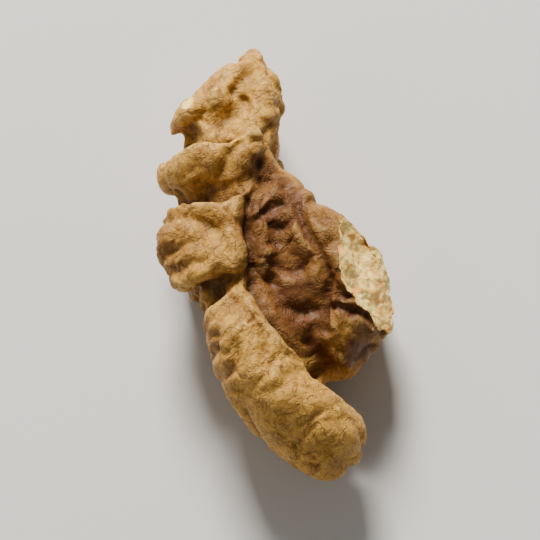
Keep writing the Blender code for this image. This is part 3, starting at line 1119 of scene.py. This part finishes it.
    def build(self, name: str) -> bpy.types.Material:
        """Build the material.

        Args:
            name: Its name.

        Returns:
            The material.
        """
        material = bpy.data.materials.new(name)
        material.use_nodes = True
        graph = Graph(material.node_tree)
        shader = material.node_tree.nodes["Principled BSDF"]
        scaled = graph.node("ShaderNodeVectorMath", operation="SCALE")
        graph.feed(scaled.inputs[0], graph.node("ShaderNodeTexCoord").outputs["Object"])
        scaled.inputs["Scale"].default_value = 1 / MM
        place = scaled.outputs[0]
        crinkle = self.crinkle(graph, place)
        veins = self.veins(graph, place)
        ragged = graph.math("ADD", graph.layer(Layer.FLESH), graph.share(place, self.ragged))
        flesh = graph.ease(ragged, *self.flesh_range)
        flesh_colour = graph.mix(graph.share(place, self.crumb), self.flesh_light, self.flesh_shade)
        skin_colour = self.skin(graph, place, crinkle, veins)
        graph.feed(shader.inputs["Base Color"], graph.mix(flesh, skin_colour, flesh_colour))
        graph.feed(shader.inputs["Roughness"], graph.share(place, self.rough))
        graph.feed(shader.inputs["Normal"], self.relief(graph, place, flesh, crinkle, veins))
        shader.inputs["IOR"].default_value = self.ior
        shader.inputs["Specular IOR Level"].default_value = self.specular_level
        shader.inputs["Subsurface Weight"].default_value = self.subsurface
        shader.inputs["Subsurface Radius"].default_value = self.subsurface_radius
        shader.inputs["Subsurface Scale"].default_value = self.subsurface_scale
        shader.inputs["Coat Weight"].default_value = self.coat
        shader.inputs["Coat Roughness"].default_value = self.coat_roughness
        return material


@dataclass
class Kernel:
    """The kernel piece, one body from its root tip to its foot."""

    name: str = "walnut_kernel"
    form: KernelForm = field(default_factory=KernelForm)
    finish: KernelFinish = field(default_factory=KernelFinish)

    def build(self) -> bpy.types.Object:
        """Sculpt, fit and dress the kernel, and let it stand for the solid.

        Returns:
            The kernel's object.
        """
        obj, layers = self.form.sculpt(self.name)
        low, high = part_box(NODE)
        move_points(obj.data, self.form.fitted(points_of(obj.data), low, high))
        for layer, values in layers.items():
            data = obj.data.attributes.new(layer.value, "FLOAT", "POINT")
            data.data.foreach_set("value", values.astype(np.float32))
        obj.data.shade_smooth()
        obj.data.materials.append(self.finish.build(SKIN_SLOT))
        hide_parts(NODE)
        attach(obj, BODY)
        return obj


@dataclass
class Floor:
    """A plain pale floor."""

    side: float = 3.0
    colour: Colour = (0.68, 0.67, 0.65, 1)
    roughness: float = 0.6

    def build(self) -> bpy.types.Object:
        """Build the floor.

        Returns:
            The floor's object.
        """
        form = bmesh.new()
        bmesh.ops.create_grid(form, x_segments=1, y_segments=1, size=self.side / 2)
        mesh = bpy.data.meshes.new("floor")
        form.to_mesh(mesh)
        form.free()
        floor = bpy.data.objects.new("floor", mesh)
        bpy.context.scene.collection.objects.link(floor)
        material = bpy.data.materials.new("floor_paper")
        material.use_nodes = True
        shader = material.node_tree.nodes["Principled BSDF"]
        shader.inputs["Base Color"].default_value = self.colour
        shader.inputs["Roughness"].default_value = self.roughness
        mesh.materials.append(material)
        return floor


@dataclass
class Viewpoint:
    """The photograph's viewing angle on the kernel."""

    azimuth: float = -14.0
    elevation: float = 74.0
    distance: float = 0.40
    lens: float = 375.0
    nearest: float = 0.01
    target: Place = (-0.0002, 0.0, 0.0048)

    def toward(self) -> Vector:
        """Work out where the camera lies from the kernel.

        Returns:
            The direction, of length one.
        """
        turn = math.radians(self.azimuth)
        rise = math.radians(self.elevation)
        flat = math.cos(rise)
        return Vector((math.sin(turn) * flat, -math.cos(turn) * flat, math.sin(rise)))

    def build(self) -> bpy.types.Object:
        """Place the camera.

        Returns:
            The camera's object.
        """
        data = bpy.data.cameras.new("camera")
        data.lens = self.lens
        data.clip_start = self.nearest
        camera = bpy.data.objects.new("camera", data)
        bpy.context.scene.collection.objects.link(camera)
        camera.location = Vector(self.target) + self.toward() * self.distance
        camera.rotation_euler = (-self.toward()).to_track_quat("-Z", "Y").to_euler()
        bpy.context.scene.camera = camera
        return camera


@dataclass(frozen=True)
class SoftBox:
    """One soft studio light: its name, the way it lies from the kernel, and its strength."""

    name: str
    direction: Place
    distance: float
    side: float
    power: float
    colour: tuple[float, float, float]

    def build(self, target: Vector) -> bpy.types.Object:
        """Place the light.

        Args:
            target: What it points at.

        Returns:
            The light's object.
        """
        data = bpy.data.lights.new(self.name, "AREA")
        data.size = self.side
        data.energy = self.power
        data.color = self.colour
        light = bpy.data.objects.new(self.name, data)
        bpy.context.scene.collection.objects.link(light)
        light.location = target + Vector(self.direction).normalized() * self.distance
        light.rotation_euler = (target - light.location).to_track_quat("-Z", "Y").to_euler()
        return light


@dataclass
class Studio:
    """Soft light from the head of the picture, with a weak fill and an even sky."""

    boxes: tuple[SoftBox, ...] = (
        SoftBox("key_light", (0.05, 0.95, 0.75), 0.6, side=0.20, power=9.9, colour=(1.0, 0.96, 0.90)),
        SoftBox("side_light", (-0.9, -0.2, 0.7), 0.7, side=0.35, power=0.6, colour=(1.0, 0.98, 0.95)),
    )
    sky_colour: Colour = (1.0, 0.975, 0.94, 1)
    sky_strength: float = 0.20

    def build(self, target: Vector) -> None:
        """Place the lights and the sky.

        Args:
            target: What the lights point at.
        """
        for box in self.boxes:
            box.build(target)
        world = bpy.data.worlds.new("studio_sky")
        world.use_nodes = True
        sky = world.node_tree.nodes["Background"]
        sky.inputs["Color"].default_value = self.sky_colour
        sky.inputs["Strength"].default_value = self.sky_strength
        bpy.context.scene.world = world


def main() -> None:
    """Build the kernel, the floor, the camera and the light, and report each one."""
    logging.basicConfig(level=logging.INFO, format="%(name)s: %(message)s")
    form = KernelForm()
    kernel = Kernel(form=form).build()
    LOG.info("%s: %d faces", kernel.name, len(kernel.data.polygons))
    floor = Floor().build()
    LOG.info("%s: %.1f m square", floor.name, floor.dimensions.x)
    viewpoint = Viewpoint()
    camera = viewpoint.build()
    LOG.info("%s: %.0f mm lens", camera.name, camera.data.lens)
    Studio().build(Vector(viewpoint.target))
    LOG.info("studio light in place")


if __name__ == "__main__":
    main()
